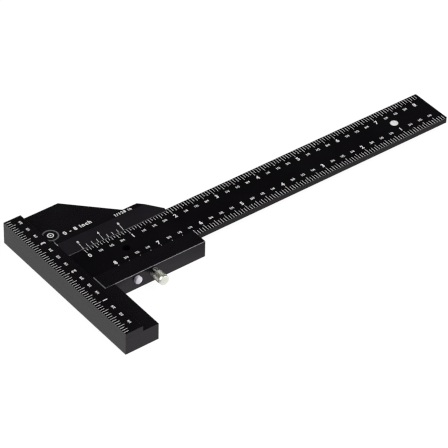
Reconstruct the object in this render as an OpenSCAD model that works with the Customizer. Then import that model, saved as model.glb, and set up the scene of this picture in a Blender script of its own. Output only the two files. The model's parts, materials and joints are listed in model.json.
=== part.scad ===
// Sliding T gauge: a stock with a raised scale strip, a head that guides a
// 25 mm class rule, a vernier for reading it and a side thumbscrew that locks it.
// Origin: base plane, where the centreline of the stock crosses that of the rule.
// +X points along the rule, +Y towards the mitred plate, +Z up.

/* [Stock] */
// Length of the stock
stock_l = 100; // [90:1:120]
// Width of the stock
stock_w = 19; // [18:0.5:24]
// Height of the stock and of the head
stock_h = 9.5; // [8.6:0.1:12]
// Distance from the rule's centreline to the near end of the stock
stock_near = 55; // [50:1:60]

/* [Scale strip] */
// Width of the raised scale strip
strip_w = 10; // [8:0.5:12]
// Height of the strip above the stock
strip_h = 3; // [2:0.1:4]

/* [Rule] */
// Length of the rule
rule_l = 233; // [200:1:330]
// Width of the rule
rule_w = 24.8; // [24.2:0.1:25.4]
// Thickness of the rule
rule_t = 3; // [2.9:0.1:3.2]
// Diameter of the rule's two holes
rule_hole_d = 4.2; // [3:0.1:5]
// Distance of the inner hole from the rule's near end
rule_near_hole = 40.2; // [30:0.1:60]
// Distance of the outer hole from the rule's far end
rule_far_hole = 25; // [15:0.5:40]
// Corner radius at the rule's far end
rule_corner_r = 0.8; // [0.4:0.1:2]

/* [Head] */
// Distance from the stock's centreline to the right end of the head
head_reach = 63; // [60:0.5:80]
// Distance from the rule's centreline to the thumbscrew face
head_side = 20.2; // [19.8:0.1:23]
// Distance from the stock's centreline to the left end of both guides
guide_x = 3.75; // [3:0.25:5]
// Thickness of the floor under the rule
floor_t = 4.5; // [4:0.1:4.8]
// Distance from the rule's centreline to the back of the vernier plate
vernier_back = 22.5; // [22:0.1:25]
// Distance from the rule's centreline to the bevel's top
bevel_top = 19.6; // [18:0.1:20]
// Distance from the rule's centreline to the vernier's thin edge
vernier_edge = 10.9; // [10.5:0.1:11.5]
// Thickness of the thin edge
vernier_lip = 0.35; // [0.3:0.05:0.6]
// Distance from the rule's centreline to the edge of the lower lip
lower_lip = 10.5; // [10:0.1:11.5]
// Sum of x and y along the 45 degree edge of the plate
mitre_sum = 67.3; // [64:0.1:70]
// Sum of x and y along the 45 degree corner of the vernier plate
corner_sum = 75.9; // [74:0.1:84]

/* [Clamp] */
// X of the thumbscrew's axis
thumb_x = 32.3; // [30:0.1:36]
// X of the gib pin's axis
pin_x = 22.5; // [20:0.1:24]
// Diameter of the thumbscrew's knob
knob_d = 5.5; // [5:0.1:7]
// Length of the thumbscrew's knob
knob_l = 5.9; // [5:0.1:8]
// Length of the bare neck between the head and the knob
neck_l = 2.9; // [2.5:0.1:4]
// Nominal diameter of the thumbscrew's thread
thread_d = 3; // [3:0.1:3.2]
// Diameter of the gib pin
pin_d = 4; // [3.5:0.1:4.4]
// How far the gib pin stands out of the head
pin_out = 2.0; // [1:0.1:2.8]
// Left end of the gib
gib_x0 = 13; // [12:0.5:16]
// Right end of the gib
gib_x1 = 55.5; // [50:0.5:56]
// Thickness of the gib
gib_t = 2.5; // [2:0.1:2.6]

/* [Fasteners] */
// Diameter of the countersunk screws
screw_d = 2.5; // [2:0.1:3]
// Diameter of their heads
screw_head_d = 4.7; // [4:0.1:5]
// Diameter of the dowel pins
dowel_d = 2; // [1.5:0.1:2.5]

/* [Hidden] */
$fn = 48;
run = 0.05;                          // clearance of a sliding fit, each side
seam = 0.03;                         // gap at a seam between fixed pieces
eps = 1;                             // overrun of a cut
near_x = -stock_w / 2;               // front datum face
near_y = -stock_near;                // near end of the stock
far_y = stock_l - stock_near;        // far end of the stock
rule_z = floor_t;                    // underside of the rule
rule_top = floor_t + rule_t;
rule_mid = floor_t + rule_t / 2;     // height of the pin and the thumbscrew
rule_half = rule_w / 2;
channel = rule_half + run;           // half width of the rule's channel
wall_t = 2;                          // outer wall of the lower guide below the floor's top
floor_y = -head_side + wall_t;       // edge of the floor under the lower guide
gib_face = -rule_half - run;         // face of the gib that meets the rule
gib_back = gib_face - gib_t;
spring_gap = 0.9;                    // room for the leaf spring behind the gib
pocket_back = gib_back - spring_gap;
spring_t = 0.25;                     // leaf spring thickness
spring_x0 = 38;                      // ends of the leaf spring
spring_x1 = 54;
bush_d = 4.2;                        // threaded bush
bush_collar_d = 4.6;
bush_collar_t = 0.4;
pad_d = 2.8;                         // swivel pad on the thumbscrew's tip
pad_l = 2;
tip_d = 1.5;                         // tip of the thumbscrew inside its pad
tip_l = 1.2;
spigot_d = 2;                        // reduced end of the gib pin
spigot_step = 3;                     // length of the pin's full diameter in the wall
rim_l = 1.5;                         // plain rim at the end of the knob
dowel_l = 5;
dowel_sink = 2.5;                    // depth of a dowel below its seam
screw_sink = 0.1;                    // screw heads sit this far below the base
socket_d = 1.7;                      // hexagon socket across corners
socket_depth = 1;
strip_mid = near_x + strip_w / 2;
strip_screw_y = [near_y + 10, -22, 20, far_y - 8];
strip_dowel_y = [-35, 29];
guide_screw_x = [8.2, 59.3];
guide_dowel_x = [10.8, 57];
guide_screw_y = -15.3;
vernier_screw_x = [8.5, 30, 50];
vernier_dowel_x = [14, 45];
vernier_screw_y = 16.8;
screw_top = 8.1;                     // top of the screws that hold the guides

// A cross-section in the YZ plane, extruded along +X from x0 to x1
module along_x(x0, x1)
    translate([x0, 0, 0]) rotate([90, 0, 90]) linear_extrude(x1 - x0) children();

// A cylinder along +Y from y0 to y1, at the height of the rule's middle
module along_y(x, y0, y1, d)
    translate([x, y0, rule_mid]) rotate([-90, 0, 0]) cylinder(h = y1 - y0, d = d);

// Everything on the lower side of the line x + y = s, over the given height
module below_line(s, z0, z1)
    translate([0, 0, z0]) linear_extrude(z1 - z0)
        polygon([[-200, -200], [s + 200, -200], [-200, s + 200]]);

// Hole for a countersunk screw that enters from the base
module screw_hole(depth) {
    translate([0, 0, -eps]) cylinder(h = depth + eps, d = screw_d + 0.2);
    translate([0, 0, -0.01])
        cylinder(h = (screw_head_d - screw_d) / 2 + 0.2, d1 = screw_head_d + 0.4, d2 = screw_d);
}

// Countersunk socket screw, head at the base, shank pointing up
module screw(top) {
    head_h = (screw_head_d - screw_d) / 2;
    difference() {
        union() {
            translate([0, 0, screw_sink]) cylinder(h = head_h, d1 = screw_head_d, d2 = screw_d);
            translate([0, 0, screw_sink]) cylinder(h = top - screw_sink, d = screw_d);
        }
        translate([0, 0, screw_sink - eps]) cylinder(h = socket_depth + eps, d = socket_d, $fn = 6);
    }
}

// Threaded hole above a seam, one thread clearance larger than the screw
module tapped_hole(z0, top)
    translate([0, 0, z0 - eps]) cylinder(h = top - z0 + eps + 0.3, d = screw_d + 0.06);

module dowel(seam_z)
    translate([0, 0, seam_z - dowel_sink]) cylinder(h = dowel_l, d = dowel_d);

module dowel_hole(seam_z)
    translate([0, 0, seam_z - dowel_sink - 0.1]) cylinder(h = dowel_l + 0.2, d = dowel_d + 0.04);

// Outline of the head's floor, seen from above
module floor_outline()
    polygon([[0, floor_y], [head_reach, floor_y], [head_reach, corner_sum - head_reach],
             [corner_sum - vernier_back, vernier_back], [0, vernier_back]]);

// Outline of the mitred plate, seen from above
module plate_outline()
    polygon([[0, vernier_back - 1], [mitre_sum - vernier_back, vernier_back - 1],
             [mitre_sum - vernier_back, vernier_back], [mitre_sum - far_y, far_y], [0, far_y]]);

module body() color("#17171a") difference() {
    union() {
        translate([near_x, near_y, 0]) cube([stock_w, stock_l, stock_h]);
        linear_extrude(floor_t - run) floor_outline();
        linear_extrude(stock_h) plate_outline();
    }
    // Bed of the two guides and of the open channel between them
    translate([guide_x, -head_side - seam, floor_t - run])
        cube([head_reach, head_side + vernier_back + 2 * seam, stock_h]);
    // Slot that the rule runs through
    translate([near_x - eps, -channel, floor_t - run])
        cube([stock_w, 2 * channel, rule_t + 2 * run]);
    for (y = strip_screw_y) translate([strip_mid, y, 0]) screw_hole(stock_h + eps);
    for (y = strip_dowel_y) translate([strip_mid, y, 0]) dowel_hole(stock_h);
    for (x = guide_screw_x) translate([x, guide_screw_y, 0]) screw_hole(floor_t + eps);
    for (x = guide_dowel_x) translate([x, guide_screw_y, 0]) dowel_hole(floor_t);
    for (x = vernier_screw_x) translate([x, vernier_screw_y, 0]) screw_hole(floor_t + eps);
    for (x = vernier_dowel_x) translate([x, vernier_screw_y, 0]) dowel_hole(floor_t);
    // Relief for the lower half of the bush and of the gib pin
    along_y(thumb_x, -head_side - eps, pocket_back + run, bush_d + 0.2);
    along_y(pin_x, -head_side - eps, -head_side + spigot_step + 0.2, pin_d + 0.2);
}

module scale_strip() color("#1d1d20") difference() {
    translate([near_x, near_y, stock_h + seam]) cube([strip_w, stock_l, strip_h - seam]);
    for (y = strip_screw_y) translate([strip_mid, y, 0]) tapped_hole(stock_h, stock_h + 2);
    for (y = strip_dowel_y) translate([strip_mid, y, 0]) dowel_hole(stock_h);
}

module vernier_plate() color("#2a2a2f") difference() {
    intersection() {
        along_x(guide_x + seam, head_reach)
            polygon([[vernier_edge, rule_top + run], [vernier_edge, rule_top + run + vernier_lip],
                     [bevel_top, stock_h], [vernier_back, stock_h], [vernier_back, floor_t],
                     [channel, floor_t], [channel, rule_top + run]]);
        below_line(corner_sum, 0, stock_h + eps);
    }
    for (x = vernier_screw_x) translate([x, vernier_screw_y, 0]) tapped_hole(floor_t, screw_top);
    for (x = vernier_dowel_x) translate([x, vernier_screw_y, 0]) dowel_hole(floor_t);
}

module lower_guide() color("#1d1d20") difference() {
    union() {
        along_x(guide_x + seam, head_reach)
            polygon([[-head_side, floor_t], [-channel, floor_t], [-channel, rule_top + run],
                     [-lower_lip, rule_top + run], [-lower_lip, stock_h], [-head_side, stock_h]]);
        translate([stock_w / 2 + seam, -head_side, 0])
            cube([head_reach - stock_w / 2 - seam, wall_t - seam, floor_t + 1]);
    }
    // Pocket of the gib and its spring
    translate([gib_x0 - run, pocket_back, floor_t - eps])
        cube([gib_x1 - gib_x0 + 2 * run, -channel - pocket_back + eps, rule_t + run + eps]);
    along_y(pin_x, -head_side - eps, -head_side + spigot_step + run, pin_d + 0.04);
    along_y(pin_x, -head_side, pocket_back + eps, spigot_d + 0.1);
    along_y(thumb_x, -head_side - eps, pocket_back + eps / 2, bush_d + 0.04);
    for (x = guide_screw_x) translate([x, guide_screw_y, 0]) tapped_hole(floor_t, screw_top);
    for (x = guide_dowel_x) translate([x, guide_screw_y, 0]) dowel_hole(floor_t);
}

module rule() color("#0f0f11") {
    x0 = near_x;
    x1 = near_x + rule_l;
    r = rule_corner_r;
    translate([0, 0, rule_z]) linear_extrude(rule_t) difference() {
        union() {
            translate([x0, -rule_half]) square([rule_l - r, rule_w]);
            translate([x1 - 2 * r, -rule_half + r]) square([2 * r, rule_w - 2 * r]);
            for (side = [-1, 1]) translate([x1 - r, side * (rule_half - r)]) circle(r = r);
        }
        translate([x0 + rule_near_hole, 0]) circle(d = rule_hole_d);
        translate([x1 - rule_far_hole, 0]) circle(d = rule_hole_d);
    }
}

module gib() color("#b08d4a") difference() {
    translate([gib_x0, gib_back, floor_t + run]) cube([gib_x1 - gib_x0, gib_t, rule_t - 2 * run]);
    along_y(pin_x, gib_back - eps, gib_back + 1.7, spigot_d + 0.04);
}

// Shallow bow: its ends bear on the guide and its middle on the gib
module gib_spring() color("#9a9a98") {
    half = (spring_x1 - spring_x0) / 2;
    rise = spring_gap - spring_t - 2 * seam;
    r = (half * half + rise * rise) / (2 * rise);
    crown = gib_back - seam;
    translate([(spring_x0 + spring_x1) / 2, crown - r, rule_mid]) intersection() {
        difference() {
            cylinder(h = 2, r = r, center = true, $fn = 180);
            cylinder(h = 3, r = r - spring_t, center = true, $fn = 180);
        }
        translate([-half, 0, -2]) cube([2 * half, r + 1, 4]);
    }
}

module gib_pin() color("#d0cdd8") {
    along_y(pin_x, -head_side - pin_out + 0.4, -head_side + spigot_step, pin_d);
    along_y(pin_x, -head_side + spigot_step - 0.5, gib_back + 1.6, spigot_d);
    translate([pin_x, -head_side - pin_out, rule_mid]) rotate([-90, 0, 0])
        cylinder(h = 0.4, d1 = pin_d - 0.8, d2 = pin_d);
}

module screw_bush() color("#b4b4b0") difference() {
    union() {
        along_y(thumb_x, -head_side, pocket_back - run, bush_d);
        along_y(thumb_x, -head_side - bush_collar_t, -head_side, bush_collar_d);
    }
    along_y(thumb_x, -head_side - eps, pocket_back + eps, thread_d + 2 * run);
}

// Turned in one piece: knob, neck, threaded shank and the tip that holds the pad
module thumbscrew() color("#cfcdbf") {
    knob_y = -head_side - neck_l;
    pad_y = gib_back - run - pad_l;
    along_y(thumb_x, knob_y - knob_l + rim_l, knob_y, knob_d);
    along_y(thumb_x, knob_y - knob_l + 0.3, knob_y - knob_l + rim_l, knob_d - 0.3);
    translate([thumb_x, knob_y - knob_l, rule_mid]) rotate([-90, 0, 0])
        cylinder(h = 0.3, d1 = knob_d - 0.9, d2 = knob_d - 0.3);
    along_y(thumb_x, knob_y - 0.5, pad_y - run, thread_d);
    along_y(thumb_x, pad_y - 0.5, pad_y + tip_l, tip_d);
}

module clamp_pad() color("#b08d4a") difference() {
    pad_y = gib_back - run - pad_l;
    along_y(thumb_x, pad_y, pad_y + pad_l, pad_d);
    along_y(thumb_x, pad_y - eps, pad_y + tip_l + run, tip_d + 2 * run);
}

module strip_screws() color("#3a3a3c")
    for (y = strip_screw_y) translate([strip_mid, y, 0]) screw(stock_h + 2);

module vernier_screws() color("#3a3a3c")
    for (x = vernier_screw_x) translate([x, vernier_screw_y, 0]) screw(screw_top);

module guide_screws() color("#3a3a3c")
    for (x = guide_screw_x) translate([x, guide_screw_y, 0]) screw(screw_top);

module strip_dowels() color("#b4b4b0")
    for (y = strip_dowel_y) translate([strip_mid, y, 0]) dowel(stock_h);

module vernier_dowels() color("#b4b4b0")
    for (x = vernier_dowel_x) translate([x, vernier_screw_y, 0]) dowel(floor_t);

module guide_dowels() color("#b4b4b0")
    for (x = guide_dowel_x) translate([x, guide_screw_y, 0]) dowel(floor_t);

body();
scale_strip();
vernier_plate();
lower_guide();
rule();
gib();
gib_spring();
gib_pin();
screw_bush();
thumbscrew();
clamp_pad();
strip_screws();
vernier_screws();
guide_screws();
strip_dowels();
vernier_dowels();
guide_dowels();
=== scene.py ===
"""Looks for the sliding T gauge: black anodised parts with white inch scales, a knurled
nickel thumbscrew and the studio around them. Lengths are in millimetres until the helpers
turn them into metres. +X runs along the rule, +Y towards the mitred plate, +Z is up."""

import json
import math

import bmesh
import bpy
from mathutils import Matrix, Vector


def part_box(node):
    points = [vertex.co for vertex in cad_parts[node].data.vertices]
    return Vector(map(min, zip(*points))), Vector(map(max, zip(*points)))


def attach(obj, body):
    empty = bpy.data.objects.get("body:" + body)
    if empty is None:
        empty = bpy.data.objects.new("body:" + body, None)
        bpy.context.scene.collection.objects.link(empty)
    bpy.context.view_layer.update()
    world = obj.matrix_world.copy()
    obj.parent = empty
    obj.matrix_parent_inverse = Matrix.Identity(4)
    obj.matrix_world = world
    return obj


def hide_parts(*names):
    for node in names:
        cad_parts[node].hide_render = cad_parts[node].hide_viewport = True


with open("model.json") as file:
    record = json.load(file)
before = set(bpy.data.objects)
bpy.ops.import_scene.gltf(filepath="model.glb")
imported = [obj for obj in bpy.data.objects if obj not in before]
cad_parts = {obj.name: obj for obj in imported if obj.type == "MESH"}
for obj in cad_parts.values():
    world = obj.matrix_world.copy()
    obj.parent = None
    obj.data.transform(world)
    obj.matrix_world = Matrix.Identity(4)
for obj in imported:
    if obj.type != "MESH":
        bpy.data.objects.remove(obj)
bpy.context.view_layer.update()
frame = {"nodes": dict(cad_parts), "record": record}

MM = 0.001
INCH = 25.4
SIXTEENTH = INCH / 16
BODIES = frame["record"]["behaviour"]["bodies"]
BODY_OF = {node: body for body, members in BODIES.items() for node in members}
SLOT_OF = {part["node"]: part["material_slot"] for part in frame["record"]["subparts"]}

# Scales
RULE_ZERO_X = 13.5          # zero of the rule's upper scale when the rule is flush with the stock
FAR_ZERO_X = 223.4          # zero of the lower scale, at the rule's far end
TICK_W = 0.19               # width of a graduation
EDGE_CLEAR = 0.22           # the graduations stop where the broken edge begins
INK_T = 0.012               # how far the marks stand proud
TOP_RELIEF = 0.02           # the strip's top sits this much lower so that its marks stay inside
NUMERAL_H = 2.5             # height of an inch numeral
FRACTION_H = 1.4            # height of the fractions between numerals
BOLD = 0.03                 # stroke widening of the numerals, as a share of the type size
UPPER_TICKS = {16: 4.7, 4: 4.4, 2: 3.75, 1: 3.15}
LOWER_TICKS = {16: 4.5, 4: 4.2, 2: 3.5, 1: 3.0}
STRIP_TICKS = {16: 4.4, 4: 3.95, 2: 3.25, 1: 2.75}
FRACTIONS = {4: "1/4", 8: "1/2", 12: "3/4"}

# Vernier
DIVISIONS = 8
VERNIER_SPAN = 15 * SIXTEENTH   # length that the divisions share
BEVEL_TOP_Y = 19.6          # top edge of the slope that carries them
BEVEL_FOOT_Z = 7.9          # height of the slope's thin edge over the rule
EMBLEM_AT = (5.33, 26.8)    # centre of the rings on the plate

# Edges
NEAR = 0.12                 # places closer than this count as the same
LEVEL = 0.5                 # heights further apart than this are different levels
FLAT_ANGLE = 30             # faces that meet at less than this, in degrees, have no edge to break
SHORT_EDGE = 2.0            # edges shorter than this, such as those round a hole, stay sharp
UPRIGHT_BREAK = 0.03        # the most that an upright edge is broken
FINE = 0.06                 # a lightly broken edge
STOCK_END_BREAK = 0.16      # top edge of the stock's near end
STRIP_END_BREAK = 0.1       # edges of the strip's near end
VERNIER_END_BREAK = 0.25    # the vernier plate's edges beside the stock
GUIDE_END_BREAK = 0.5       # the guide's top edge beside the stock
GUIDE_FRONT_BREAK = 0.2     # the guide's outer top edge
RULE_FRONT_BREAK = 0.11     # the rule's top edge on the thumbscrew's side
OPENING_HALF = 14.0         # the rule's opening in the stock lies within this of y = 0
HOLE_REACH = 3.0            # and a hole's wall within this
MACHINED_SHARP = 25         # faces that meet at more than this, in degrees, are shaded apart
TURNED_SHARP = 28           # the same for turned parts
TOUCHING = 1e-6             # metres; points closer than this are one


# ---------------------------------------------------------------- helpers
def extent(node):
    """Lowest and highest corner of a CAD node, in millimetres."""
    low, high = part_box(node)
    return low / MM, high / MM


def near(a, b):
    """Whether two coordinates, in millimetres, are the same place."""
    return abs(a - b) < NEAR


def place(piece, body):
    """Puts a finished piece on its body."""
    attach(piece, body)


def add_object(name, mesh, materials):
    """An object in the scene from a mesh, with its materials in order."""
    piece = bpy.data.objects.new(name, mesh)
    bpy.context.scene.collection.objects.link(piece)
    for material in materials:
        mesh.materials.append(material)
    return piece


# ---------------------------------------------------------------- materials
def new_material(name):
    """A material, its node tree and its Principled shader."""
    material = bpy.data.materials.new(name)
    material.use_nodes = True
    return material, material.node_tree, material.node_tree.nodes["Principled BSDF"]


def noise(tree, scale, detail=3.0, stretch=(1, 1, 1)):
    """Noise in the object's own space. scale is in features per metre."""
    where = tree.nodes.new("ShaderNodeTexCoord")
    mapping = tree.nodes.new("ShaderNodeMapping")
    mapping.inputs["Scale"].default_value = stretch
    texture = tree.nodes.new("ShaderNodeTexNoise")
    texture.inputs["Scale"].default_value = scale
    texture.inputs["Detail"].default_value = detail
    tree.links.new(where.outputs["Object"], mapping.inputs["Vector"])
    tree.links.new(mapping.outputs["Vector"], texture.inputs["Vector"])
    return texture.outputs["Fac"]


def spread(tree, value, low, high, start=0.3, end=0.7):
    """Maps a noise value onto low..high."""
    node = tree.nodes.new("ShaderNodeMapRange")
    node.inputs["From Min"].default_value = start
    node.inputs["From Max"].default_value = end
    node.inputs["To Min"].default_value = low
    node.inputs["To Max"].default_value = high
    tree.links.new(value, node.inputs["Value"])
    return node.outputs["Result"]


def blend_colours(tree, value, first, second):
    """A colour between two, by a value from 0 to 1."""
    ramp = tree.nodes.new("ShaderNodeValToRGB")
    ramp.color_ramp.elements[0].color = (*first, 1)
    ramp.color_ramp.elements[1].color = (*second, 1)
    tree.links.new(value, ramp.inputs["Fac"])
    return ramp.outputs["Color"]


def bump(tree, shader, height, distance, strength=0.5):
    """distance is the depth of the relief in millimetres."""
    node = tree.nodes.new("ShaderNodeBump")
    node.inputs["Strength"].default_value = strength
    node.inputs["Distance"].default_value = distance * MM
    tree.links.new(height, node.inputs["Height"])
    tree.links.new(node.outputs["Normal"], shader.inputs["Normal"])


def anodised(name, tone, warm, rough, ior=1.30, grain=3200):
    """Black anodised aluminium, satin blasted, with a faint change of tone over the surface."""
    material, tree, shader = new_material(name)
    shader.inputs["IOR"].default_value = ior
    shader.inputs["Specular Tint"].default_value = (1.0, 0.89, 0.97, 1)
    tint = (tone * warm[0], tone * warm[1], tone * warm[2])
    lighter = tuple(c * 1.5 for c in tint)
    tree.links.new(blend_colours(tree, spread(tree, noise(tree, 60), 0, 1), tint, lighter),
                   shader.inputs["Base Color"])
    fine = noise(tree, grain, 2.0)
    tree.links.new(spread(tree, fine, rough - 0.04, rough + 0.06), shader.inputs["Roughness"])
    bump(tree, shader, fine, 0.003)
    return material


def worn_edge(name, tone, worn, least=0.0):
    """The same finish on a chamfer, rubbed thinner in places so that the metal starts to show. With a high
    tone and least, the whole chamfer is light and metallic: a painted highlight line along the edge.
    """
    material, tree, shader = new_material(name)
    shader.inputs["IOR"].default_value = 1.5
    wear = spread(tree, noise(tree, 450, 4.0, (1, 1, 0.4)), 0, 1, 0.5, 0.72)
    tree.links.new(blend_colours(tree, wear, (tone, tone, tone * 1.05), (worn, worn, worn * 1.03)),
                   shader.inputs["Base Color"])
    tree.links.new(spread(tree, wear, least, 0.8, 0, 1), shader.inputs["Metallic"])
    tree.links.new(spread(tree, noise(tree, 2500), 0.28, 0.42), shader.inputs["Roughness"])
    bump(tree, shader, noise(tree, 2500), 0.002)
    return material


def ink(name, shade):
    """Marking ink with slightly uneven cover."""
    material, tree, shader = new_material(name)
    cover = spread(tree, noise(tree, 1500, 4.0), 0, 1, 0.25, 0.6)
    thin = tuple(c * 0.72 for c in shade)
    tree.links.new(blend_colours(tree, cover, thin, shade), shader.inputs["Base Color"])
    tree.links.new(spread(tree, noise(tree, 2600), 0.45, 0.62), shader.inputs["Roughness"])
    bump(tree, shader, noise(tree, 2600), 0.003)
    return material


def plastic(name, colour):
    """Turned nylon: matt, slightly translucent, with faint tool marks."""
    material, tree, shader = new_material(name)
    shader.inputs["Subsurface Weight"].default_value = 0.5
    shader.inputs["Subsurface Radius"].default_value = (1.2 * MM, 1.2 * MM, 1.2 * MM)
    tone = spread(tree, noise(tree, 700), 0, 1)
    darker = tuple(c * 0.9 for c in colour)
    tree.links.new(blend_colours(tree, tone, darker, colour), shader.inputs["Base Color"])
    tree.links.new(spread(tree, noise(tree, 2400), 0.4, 0.55), shader.inputs["Roughness"])
    bump(tree, shader, noise(tree, 2400, 3.0, (0.2, 1, 0.2)), 0.004)
    return material


def metal(name, colour, rough, stretch=(1, 1, 1), scale=900):
    """Bare or plated metal with turning or grinding marks along one direction."""
    material, tree, shader = new_material(name)
    shader.inputs["Metallic"].default_value = 1.0
    marks = noise(tree, scale, 3.0, stretch)
    dull = tuple(c * 0.86 for c in colour)
    tree.links.new(blend_colours(tree, spread(tree, noise(tree, 260), 0, 1), dull, colour),
                   shader.inputs["Base Color"])
    tree.links.new(spread(tree, marks, rough - 0.05, rough + 0.09), shader.inputs["Roughness"])
    bump(tree, shader, marks, 0.004, 0.35)
    return material


TURNED = (0.15, 1, 0.15)    # stretch of the marks on parts turned about Y

NYLON = plastic("nylon", (0.62, 0.60, 0.66))
STRIP_BLACK = anodised("anodised_strip", 0.0026, (1.06, 0.90, 1.12), 0.25)
BODY_BLACK = anodised("anodised_body", 0.0032, (1.06, 0.90, 1.12), 0.25)
GUIDE_BLACK = anodised("anodised_guides", 0.0030, (1.05, 0.90, 1.15), 0.25)
# The slope's base colour is about twice the plate's: painted sheen for the light the sloped face catches,
# on top of its own rougher finish.
BEVEL_BLACK_PAINTED_SHEEN = anodised("anodised_bevel_painted_sheen", 0.0066, (1.02, 0.92, 1.16), 0.36)
RULE_BLACK = anodised("anodised_rule", 0.0024, (1.05, 0.92, 1.12), 0.24, ior=1.22, grain=3800)
EDGE = worn_edge("anodised_edge", 0.012, 0.09)
# The guides' chamfers are lighter and metallic all over: a painted highlight along the edges, with the
# rubbed patches of wear on top.
GUIDE_EDGE_PAINTED_HIGHLIGHT = worn_edge("guide_edge_painted_highlight", 0.26, 0.48, least=0.55)
WHITE_INK = ink("white_ink", (0.78, 0.78, 0.775))
GREY_INK = ink("grey_ink", (0.11, 0.11, 0.115))
NICKEL = metal("nickel_plate", (0.76, 0.77, 0.70), 0.46, TURNED, 2400)
# The knurled band's nickel is less than half as bright as the knob's: painted shade among the knurls.
KNURL_NICKEL_PAINTED_SHADE = metal("nickel_knurl_painted_shade", (0.34, 0.34, 0.30), 0.50, TURNED, 2400)
ALUMINIUM = metal("bare_aluminium", (0.90, 0.90, 0.89), 0.45, (1, 1, 0.2), 1800)
# Dark steel on the bush; on the thumbscrew's thread it is painted shade in the neck between knob and bush.
DARK_STEEL_AND_NECK_SHADE = metal("dark_steel_and_neck_shade", (0.10, 0.10, 0.10), 0.24, TURNED, 2400)
BRASS = metal("brass", (0.72, 0.52, 0.24), 0.32, (0.1, 1, 1), 1200)
STEEL = metal("steel", (0.56, 0.56, 0.55), 0.26, (1, 1, 0.1), 1500)
BLACK_STEEL = metal("black_steel", (0.035, 0.035, 0.038), 0.42)


# ---------------------------------------------------------------- machined parts
def corner_angle(edge):
    """Angle between an edge's two faces in degrees, or 0 for a concave or open edge."""
    if len(edge.link_faces) != 2 or not edge.is_convex:
        return 0.0
    return math.degrees(edge.calc_face_angle(0.0))


def machined(node, materials, widths, lower_top=0.0, face_slot=None, edge=EDGE):
    """Stands for a CAD node with the same shape and broken edges. widths(middle) gives the
    width of a broken edge in millimetres at its middle, 0 for a sharp one. lower_top is how
    far the top face drops. face_slot(face) picks a face's material."""
    bm = bmesh.new()
    bm.from_mesh(frame["nodes"][node].data)
    bmesh.ops.remove_doubles(bm, verts=bm.verts, dist=TOUCHING)
    bmesh.ops.recalc_face_normals(bm, faces=bm.faces)
    top = max(v.co.z for v in bm.verts)
    for v in bm.verts:
        if v.co.z > top - TOUCHING:
            v.co.z -= lower_top * MM
    weight = bm.edges.layers.float.new("bevel_weight_edge")
    for line in bm.edges:
        length = line.calc_length()
        if corner_angle(line) > FLAT_ANGLE and length / MM > SHORT_EDGE:
            first, second = (v.co for v in line.verts)
            upright = abs(first.z - second.z) > 0.9 * length
            width = widths((first + second) / 2 / MM)
            line[weight] = min(width, UPRIGHT_BREAK) if upright else width
    for face in bm.faces:
        face.material_index = face_slot(face) if face_slot else 0
        face.smooth = True
    mesh = bpy.data.meshes.new(node + "_shape")
    bm.to_mesh(mesh)
    bm.free()
    if "custom_normal" in mesh.attributes:
        mesh.attributes.remove(mesh.attributes["custom_normal"])
    piece = add_object(node + "_finished", mesh, [*materials, edge])
    bevel = piece.modifiers.new("broken_edges", "BEVEL")
    bevel.width = MM
    bevel.limit_method = "WEIGHT"
    bevel.segments = 1
    bevel.material = len(materials)
    bevel.use_clamp_overlap = False
    bpy.context.view_layer.update()
    made = piece.evaluated_get(bpy.context.evaluated_depsgraph_get())
    finished = bpy.data.meshes.new_from_object(made)
    piece.modifiers.clear()
    piece.data = finished
    bpy.data.meshes.remove(mesh)
    finished.set_sharp_from_angle(angle=math.radians(MACHINED_SHARP))
    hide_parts(node)
    place(piece, BODY_OF[node])


guide_low, guide_high = extent("lower_guide")
vernier_low, vernier_high = extent("vernier_plate")
strip_low, strip_high = extent("scale_strip")
rule_low, rule_high = extent("rule")
body_low, body_high = extent("body")


def body_edges(middle):
    under_strip = middle.x < strip_high.x + NEAR and near(middle.z, body_high.z)
    on_front = near(middle.x, body_low.x) and abs(middle.y) < OPENING_HALF
    rule_opening = on_front and body_low.z + LEVEL < middle.z < body_high.z - LEVEL
    by_vernier = near(middle.x, vernier_low.x) or near(middle.y, vernier_high.y)
    if by_vernier or under_strip or rule_opening:
        return 0.0
    if near(middle.z, body_high.z) and near(middle.y, body_low.y):
        return STOCK_END_BREAK
    return FINE


def strip_edges(middle):
    if near(middle.y, strip_low.y):
        return STRIP_END_BREAK
    return FINE if middle.z > strip_low.z + LEVEL else 0.0


def vernier_edges(middle):
    if near(middle.y, vernier_high.y) or middle.z < vernier_low.z + LEVEL:
        return 0.0
    if near(middle.x, vernier_low.x):
        return VERNIER_END_BREAK
    return FINE


def guide_edges(middle):
    if near(middle.z, guide_high.z) and near(middle.x, guide_low.x):
        return GUIDE_END_BREAK
    if near(middle.z, guide_high.z) and near(middle.y, guide_low.y):
        return GUIDE_FRONT_BREAK
    return FINE


def rule_edges(middle):
    if near(middle.x, rule_low.x):
        return 0.0
    if near(middle.z, rule_high.z) and near(middle.y, rule_low.y):
        return RULE_FRONT_BREAK
    return FINE


def vernier_slot(face):
    """The vernier's slope has a finish of its own: rougher, and with a lighter base colour that is painted
    sheen for the light the slope catches.
    """
    return 1 if face.normal.z > 0.9 and face.normal.y < -0.1 else 0


def rule_slot(face):
    """The far hole's wall is bare metal. The end that lies flush with the stock has the
    stock's finish."""
    middle = face.calc_center_median() / MM
    if near(middle.x, rule_low.x):
        return 2
    far_half = (rule_low.x + rule_high.x) / 2 < middle.x < rule_high.x - NEAR
    wall = abs(middle.y) < HOLE_REACH and abs(face.normal.z) < 0.5
    return 1 if far_half and wall else 0


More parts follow.
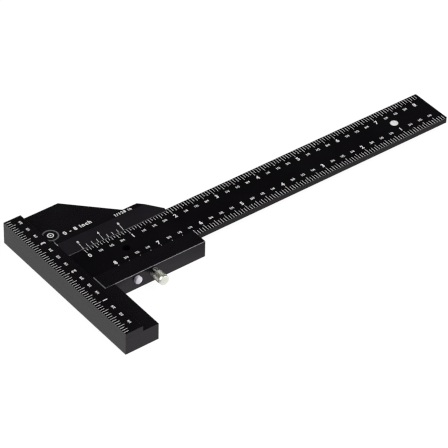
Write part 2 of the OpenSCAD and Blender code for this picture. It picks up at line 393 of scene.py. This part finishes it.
machined("body", [BODY_BLACK], body_edges)
machined("scale_strip", [STRIP_BLACK], strip_edges, lower_top=TOP_RELIEF)
machined("vernier_plate", [GUIDE_BLACK, BEVEL_BLACK_PAINTED_SHEEN], vernier_edges,
         face_slot=vernier_slot, edge=GUIDE_EDGE_PAINTED_HIGHLIGHT)
machined("lower_guide", [GUIDE_BLACK], guide_edges, edge=GUIDE_EDGE_PAINTED_HIGHLIGHT)
machined("rule", [RULE_BLACK, ALUMINIUM, BODY_BLACK], rule_edges, face_slot=rule_slot)


# ---------------------------------------------------------------- marks
_letters = {}


def letters(text, spacing=1.0):
    """Points and faces of a short text in type of size 1, centred on x = 0 and standing on
    y = 0."""
    if (text, spacing) not in _letters:
        curve = bpy.data.curves.new("type", "FONT")
        curve.body = text
        curve.space_character = spacing
        curve.align_x = "CENTER"
        curve.offset = BOLD
        curve.resolution_u = 3
        piece = bpy.data.objects.new("type", curve)
        bpy.context.scene.collection.objects.link(piece)
        bpy.context.view_layer.update()
        made = piece.evaluated_get(bpy.context.evaluated_depsgraph_get())
        mesh = bpy.data.meshes.new_from_object(made)
        points = [v.co.copy() for v in mesh.vertices]
        _letters[text, spacing] = (points, [tuple(p.vertices) for p in mesh.polygons])
        bpy.data.objects.remove(piece)
        bpy.data.curves.remove(curve)
        bpy.data.meshes.remove(mesh)
    return _letters[text, spacing]


def cap_height():
    """Height of a numeral in type of size 1, and the middle of that height."""
    heights = [p.y for p in letters("8")[0]]
    return max(heights) - min(heights), (max(heights) + min(heights)) / 2


class Marks:
    """Marks on one flat face. u runs along the line of text, v up the letters; the matrix takes
    (u, v, height) in millimetres to metres in the frame."""

    def __init__(self, name, node, origin, along=(1, 0, 0), up=(0, 1, 0), material=WHITE_INK):
        self.bm = bmesh.new()
        self.name, self.node, self.material = name, node, material
        along, up = Vector(along).normalized(), Vector(up).normalized()
        normal = along.cross(up)
        turn = Matrix((along, up, normal)).transposed().to_4x4()
        self.matrix = Matrix.Scale(MM, 4) @ Matrix.Translation(Vector(origin)) @ turn

    def _solid(self, points, faces):
        """Raises a flat patch by the thickness of the ink, with walls round its open edges."""
        verts = [self.bm.verts.new(self.matrix @ Vector((u, v, 0))) for u, v in points]
        made = [self.bm.faces.new([verts[i] for i in face]) for face in faces]
        raised = bmesh.ops.extrude_face_region(self.bm, geom=made)
        lifted = [g for g in raised["geom"] if isinstance(g, bmesh.types.BMVert)]
        lift = self.matrix.to_3x3() @ Vector((0, 0, INK_T))
        bmesh.ops.translate(self.bm, verts=lifted, vec=lift)

    def bar(self, u0, u1, v0, v1):
        """A rectangle between two u and two v."""
        self._solid([(u0, v0), (u1, v0), (u1, v1), (u0, v1)], [(0, 1, 2, 3)])

    def text(self, text, u, v, height, spacing=1.0):
        """A line of type centred on (u, v), with numerals of the height given."""
        points, faces = letters(text, spacing)
        cap, middle = cap_height()
        size = height / cap
        self._solid([(u + p.x * size, v + (p.y - middle) * size) for p in points], faces)

    def ring(self, u, v, outer, inner, steps=48):
        """A flat ring round (u, v), by its two radii."""
        points = []
        faces = []
        for i in range(steps):
            a = 2 * math.pi * i / steps
            points += [(u + r * math.cos(a), v + r * math.sin(a)) for r in (outer, inner)]
            j = (i + 1) % steps
            faces.append((2 * i, 2 * j, 2 * j + 1, 2 * i + 1))
        self._solid(points, faces)

    def finish(self):
        """Makes the marks one piece that rides on their node's body."""
        bmesh.ops.recalc_face_normals(self.bm, faces=self.bm.faces)
        mesh = bpy.data.meshes.new(self.name)
        self.bm.to_mesh(mesh)
        self.bm.free()
        piece = add_object(self.name, mesh, [self.material])
        place(piece, BODY_OF[self.node])


def tick_length(lengths, n):
    """Length of graduation n: inches, quarters, eighths and sixteenths each have their own."""
    for step in (16, 4, 2):
        if n % step == 0:
            return lengths[step]
    return lengths[1]


def graduate(marks, first, last, at, edge, inward, lengths, label_v, fraction_v):
    """Sixteenths of an inch from first to last. at(n) gives u, and the ticks grow from
    v = edge in the direction of inward, 1 or -1."""
    for n in range(first, last + 1):
        start = edge + inward * EDGE_CLEAR
        end = edge + inward * tick_length(lengths, n)
        marks.bar(at(n) - TICK_W / 2, at(n) + TICK_W / 2, min(start, end), max(start, end))
        if n % 16 == 0:
            marks.text(str(n // 16), at(n), label_v, NUMERAL_H)
        elif n % 16 in FRACTIONS:
            marks.text(FRACTIONS[n % 16], at(n), fraction_v, FRACTION_H)


rule_marks = Marks("rule_marks", "rule", (0, 0, rule_high.z))
graduate(rule_marks, 0, 131, lambda n: RULE_ZERO_X + n * SIXTEENTH, rule_high.y, -1,
         UPPER_TICKS, label_v=5.65, fraction_v=5.6)
graduate(rule_marks, 1, 128, lambda n: FAR_ZERO_X - n * SIXTEENTH, rule_low.y, 1,
         LOWER_TICKS, label_v=-5.8, fraction_v=-5.75)
rule_marks.finish()

strip_top = strip_high.z - TOP_RELIEF
strip_marks = Marks("strip_marks", "scale_strip", (0, 0, strip_top), along=(0, 1, 0), up=(-1, 0, 0))
graduate(strip_marks, 1, 62, lambda n: strip_low.y + n * SIXTEENTH, -strip_low.x, -1,
         STRIP_TICKS, label_v=2.9, fraction_v=2.8)
strip_marks.finish()

slope = Vector((0, BEVEL_TOP_Y - vernier_low.y, vernier_high.z - BEVEL_FOOT_Z))
slope_foot = (RULE_ZERO_X, vernier_low.y, BEVEL_FOOT_Z)
vernier_marks = Marks("vernier_marks", "vernier_plate", slope_foot, up=slope)
for n in range(DIVISIONS + 1):
    u = n * VERNIER_SPAN / DIVISIONS
    numbered = n % 4 == 0
    vernier_marks.bar(u - TICK_W / 2, u + TICK_W / 2, 0.15, 3.9 if numbered else 2.2)
    if numbered:
        vernier_marks.text(str(n), u, 4.9, 1.5)
vernier_marks.finish()

plate_marks = Marks("plate_marks", "body", (0, 0, body_high.z))
plate_marks.text("1/128 in", 43.8, 21.0, 1.9, spacing=1.22)
plate_marks.text("0 - 8 inch", 19.2, 24.3, 2.5, spacing=1.25)
plate_marks.ring(*EMBLEM_AT, 1.7, 1.2)
plate_marks.ring(*EMBLEM_AT, 0.45, 0.05, steps=16)
plate_marks.finish()
emblem = Marks("plate_emblem", "body", (0, 0, body_high.z), material=GREY_INK)
emblem.ring(*EMBLEM_AT, 4.2, 3.5)
emblem.finish()


# ---------------------------------------------------------------- turned parts
thumb_low, thumb_high = extent("thumbscrew")
pin_low, pin_high = extent("gib_pin")
bush_low, bush_high = extent("screw_bush")
THUMB_X = (thumb_low.x + thumb_high.x) / 2
PIN_X = (pin_low.x + pin_high.x) / 2
AXIS_Z = (thumb_low.z + thumb_high.z) / 2
KNOB_R = (thumb_high.x - thumb_low.x) / 2


def turned(node, x, profile, materials, segments, relief=None, closed=False, bands=()):
    """A lathe part on an axis along Y. profile is a list of (y, r); relief(y, r, angle) gives
    the radius at an angle, for knurls and threads; closed joins the last ring to the first.
    Each y in bands is where the next material begins."""
    bm = bmesh.new()
    rings = []
    for y, r in profile:
        ring = []
        for i in range(segments):
            a = 2 * math.pi * i / segments
            radius = relief(y, r, a) if relief else r
            point = Vector((x + radius * math.cos(a), y, AXIS_Z + radius * math.sin(a)))
            ring.append(bm.verts.new(point * MM))
        rings.append(ring)
    pairs = list(zip(rings, rings[1:] + rings[:1] if closed else rings[1:]))
    for first, second in pairs:
        for i in range(segments):
            j = (i + 1) % segments
            bm.faces.new((first[i], first[j], second[j], second[i]))
    if not closed:
        bm.faces.new(rings[0])
        bm.faces.new(list(reversed(rings[-1])))
    bmesh.ops.recalc_face_normals(bm, faces=bm.faces)
    for face in bm.faces:
        face.smooth = True
        y = face.calc_center_median().y / MM
        face.material_index = sum(y > start for start in bands)
    mesh = bpy.data.meshes.new(node + "_shape")
    bm.to_mesh(mesh)
    bm.free()
    mesh.set_sharp_from_angle(angle=math.radians(TURNED_SHARP))
    piece = add_object(node + "_finished", mesh, materials)
    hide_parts(node)
    place(piece, BODY_OF[node])


def arc(y, r, radius, start, end, steps):
    """Points of an arc, as (y, r), around a centre; angles in degrees from +Y."""
    turns = [math.radians(start + (end - start) * i / steps) for i in range(steps + 1)]
    return [(y + radius * math.cos(a), r + radius * math.sin(a)) for a in turns]


KNOB_BACK = bush_low.y - 2.5        # neck of 2.5 mm between the bush and the knob
KNURLS = 26
KNURL_DEPTH = 0.30
KNURL_FRONT = thumb_low.y + 1.55    # behind the knob's plain rim
RIM_R = KNOB_R - 0.15
GROOVE_R = KNOB_R - 0.42            # groove between the rim and the knurls
KNURL_END_R = KNOB_R - 0.25         # the knurled band is chamfered down to this at its ends
PITCH = 0.5
STEPS_PER_TURN = 8                  # rings of points along one turn of the thread
THREAD_R = 1.5
THREAD_DEPTH = 0.2
TIP_R = 0.75
PAD_Y = thumb_high.y - 1.2          # where the thread ends and the tip begins
SEGMENTS = 64                       # round a plain turned part


def thumb_relief(y, r, angle):
    """Knurls on the knob's band and a helical thread on the shank."""
    if KNURL_FRONT <= y <= KNOB_BACK and r >= KNURL_END_R:
        wave = abs(((angle * KNURLS / (2 * math.pi)) % 1.0) * 2 - 1)
        return r - KNURL_DEPTH * wave ** 1.5
    if KNOB_BACK < y < PAD_Y:
        phase = (y / PITCH + angle / (2 * math.pi)) % 1.0
        return r - THREAD_DEPTH * abs(phase * 2 - 1)
    return r


def thumb_profile():
    """The knob's rim and groove, its knurled band, the threaded shank and the tip."""
    y = thumb_low.y
    points = [(y + 0.06, 0.3), (y + 0.02, KNOB_R - 1.0), (y, KNOB_R - 0.5)]
    points += [(y + 0.1, KNOB_R - 0.28), (y + 0.3, RIM_R), (KNURL_FRONT - 0.25, RIM_R)]
    points += [(KNURL_FRONT - 0.18, GROOVE_R), (KNURL_FRONT - 0.02, GROOVE_R)]
    points += [(KNURL_FRONT, KNURL_END_R), (KNURL_FRONT + 0.2, KNOB_R), (KNOB_BACK - 0.25, KNOB_R)]
    points += [(KNOB_BACK, KNURL_END_R), (KNOB_BACK + 0.001, THREAD_R + 0.35), (KNOB_BACK + 0.1, THREAD_R)]
    step = PITCH / STEPS_PER_TURN
    for i in range(2, int((PAD_Y - KNOB_BACK) / step)):
        points.append((KNOB_BACK + i * step, THREAD_R))
    points += [(PAD_Y - 0.05, THREAD_R - THREAD_DEPTH), (PAD_Y, TIP_R), (thumb_high.y, TIP_R)]
    return points


# The thread takes the dark metal: painted shade in the neck between knob and bush.
thumb_materials = [NICKEL, KNURL_NICKEL_PAINTED_SHADE, DARK_STEEL_AND_NECK_SHADE]
thumb_bands = (KNURL_FRONT - 0.2, KNOB_BACK + 0.05)
turned("thumbscrew", THUMB_X, thumb_profile(), thumb_materials, KNURLS * 4, thumb_relief, bands=thumb_bands)

PIN_R = (pin_high.x - pin_low.x) / 2
DOME_R = 5.2                        # radius of the pin's shallow dome
SHOULDER_R = 0.4                    # rounding between the dome and the pin's side
SHOULDER_Y = 0.7                    # its centre's distance from the dome's top
SPIGOT_R = 1.0
SPIGOT_FRONT = -17.2                # Y at which the pin steps down to its spigot
pin_profile = arc(pin_low.y + DOME_R, 0, DOME_R, 176.5, 162, 6)
pin_profile += arc(pin_low.y + SHOULDER_Y, PIN_R - SHOULDER_R, SHOULDER_R, 140, 90, 4)
pin_profile += [(SPIGOT_FRONT, PIN_R), (SPIGOT_FRONT, SPIGOT_R), (pin_high.y, SPIGOT_R)]
turned("gib_pin", PIN_X, pin_profile, [NYLON], SEGMENTS)

BORE_R = 1.55
SLEEVE_R = 2.1
COLLAR_R = (bush_high.x - bush_low.x) / 2
COLLAR_BACK = bush_low.y + 0.4
COLLAR_BREAK = bush_low.y + 0.1     # where the collar's broken edges end
bush_profile = [(COLLAR_BREAK, BORE_R), (bush_low.y, BORE_R + 0.15), (bush_low.y, COLLAR_R - 0.12),
                (COLLAR_BREAK, COLLAR_R), (COLLAR_BACK, COLLAR_R), (COLLAR_BACK, SLEEVE_R),
                (bush_high.y, SLEEVE_R), (bush_high.y, BORE_R)]
turned("screw_bush", THUMB_X, bush_profile, [DARK_STEEL_AND_NECK_SHADE], SEGMENTS, closed=True)


# ---------------------------------------------------------------- nodes that keep their shape
FINISHES = {"brass": BRASS, "steel": STEEL, "black_steel": BLACK_STEEL}
for name, piece in frame["nodes"].items():
    finish = FINISHES.get(SLOT_OF[name])
    if finish and not piece.hide_render:
        piece.data.materials.clear()
        piece.data.materials.append(finish)


# ---------------------------------------------------------------- studio
# Sizes and places of the studio are in metres
FLOOR_HALF = 6.0
FLOOR_DROP = 0.00002        # keeps the floor clear of the stock's underside
TARGET = Vector((0.07, 0, 0.005))   # what the lights point at
GLOW_TOP = 0.01             # the sky is white where a direction rises less than this
SKY_FOOT = 0.08             # and dark grey where it rises more than this
SKY_GREY = 0.04

floor_mesh = bpy.data.meshes.new("floor")
corners = [(-1, -1), (1, -1), (1, 1), (-1, 1)]
floor_mesh.from_pydata([(x * FLOOR_HALF, y * FLOOR_HALF, 0) for x, y in corners], [], [(0, 1, 2, 3)])
floor_material, floor_tree, floor_shader = new_material("floor")
floor_shader.inputs["Base Color"].default_value = (0.12, 0.12, 0.12, 1)
floor_shader.inputs["Roughness"].default_value = 0.9
floor_shader.inputs["Specular IOR Level"].default_value = 0.0
floor_shader.inputs["Emission Color"].default_value = (1, 1, 1, 1)
floor_shader.inputs["Emission Strength"].default_value = 0.93
floor = add_object("floor", floor_mesh, [floor_material])
floor.location.z = -FLOOR_DROP


def soft_light(name, direction, distance, size, power):
    """A square soft light that faces the object. direction points from the object to it, and
    power is in watts."""
    lamp = bpy.data.lights.new(name, "AREA")
    lamp.size = size
    lamp.energy = power
    light = bpy.data.objects.new(name, lamp)
    bpy.context.scene.collection.objects.link(light)
    light.location = TARGET + Vector(direction).normalized() * distance
    light.rotation_euler = Vector(direction).to_track_quat("Z", "Y").to_euler()
    light.visible_camera = False


soft_light("key", (0.478, -0.634, 0.608), distance=1.2, size=1.4, power=21)
soft_light("fill", (-0.634, 0.608, 0.478), distance=1.3, size=1.3, power=18)

world = bpy.data.worlds.new("studio")
bpy.context.scene.world = world
world.use_nodes = True
sky = world.node_tree
where = sky.nodes.new("ShaderNodeTexCoord")
split = sky.nodes.new("ShaderNodeSeparateXYZ")
ramp = sky.nodes.new("ShaderNodeValToRGB")
ramp.color_ramp.elements[0].position = GLOW_TOP
ramp.color_ramp.elements[0].color = (1, 1, 1, 1)
ramp.color_ramp.elements[1].position = SKY_FOOT
ramp.color_ramp.elements[1].color = (SKY_GREY, SKY_GREY, SKY_GREY, 1)
sky.links.new(where.outputs["Generated"], split.inputs["Vector"])
sky.links.new(split.outputs["Z"], ramp.inputs["Fac"])
sky.links.new(ramp.outputs["Color"], sky.nodes["Background"].inputs["Color"])

bpy.context.scene.view_settings.view_transform = "Standard"
bpy.context.scene.cycles.filter_width = 1.3
bpy.context.scene.cycles.denoising_prefilter = "NONE"   # keeps the fine graduations apart

# ---------------------------------------------------------------- camera
CAMERA_AT = Vector((-0.58667, -0.85040, 0.88648))
CAMERA_AIM = Vector((0.07959, -0.01327, 0.0075))
CAMERA_ROLL = 1.62          # degrees
FOCAL_LENGTH = 229.794      # millimetres, on a sensor 36 mm wide
lens = bpy.data.cameras.new("camera")
lens.sensor_width = 36.0
lens.lens = FOCAL_LENGTH
camera = bpy.data.objects.new("camera", lens)
bpy.context.scene.collection.objects.link(camera)
camera.location = CAMERA_AT
look = (CAMERA_AIM - CAMERA_AT).to_track_quat("-Z", "Y").to_matrix().to_4x4()
camera.rotation_euler = (look @ Matrix.Rotation(math.radians(CAMERA_ROLL), 4, "Z")).to_euler()
bpy.context.scene.camera = camera
